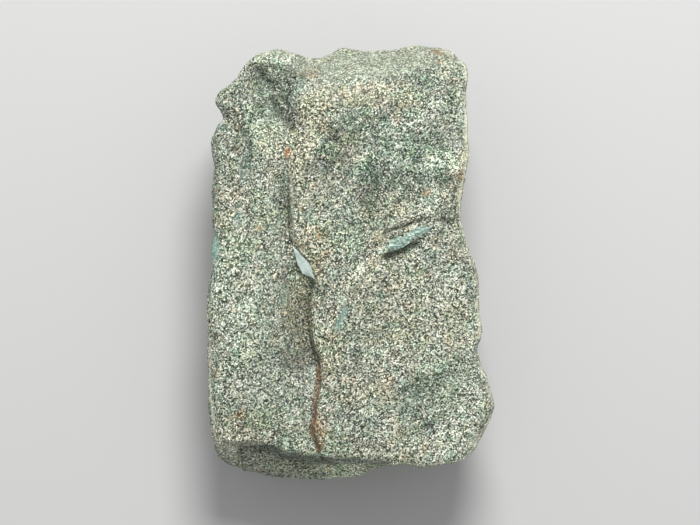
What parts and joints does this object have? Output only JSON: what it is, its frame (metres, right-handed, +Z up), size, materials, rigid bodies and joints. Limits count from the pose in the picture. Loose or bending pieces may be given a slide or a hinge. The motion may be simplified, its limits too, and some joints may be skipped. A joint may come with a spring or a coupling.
{
  "type": "fuchsite stone",
  "caption": "Rough oblong block of green fuchsite mica schist with a stepped, cleft top, broken layered sides and a flat cleavage face underneath to rest on.",
  "frame": {"origin": "centre of the stone's bounding box, on the plane of its flat underside", "axes": "+Z up from the flat underside, +Y along the longest side to the sloping end, +X to the side with the high slabs"},
  "size_m": [0.0742, 0.1124, 0.036],
  "materials": {
    "schist": "rough, with glints of mica"
  },
  "bodies": {
    "root": {"fuchsite_stone": "schist"}
  },
  "joints": []
}
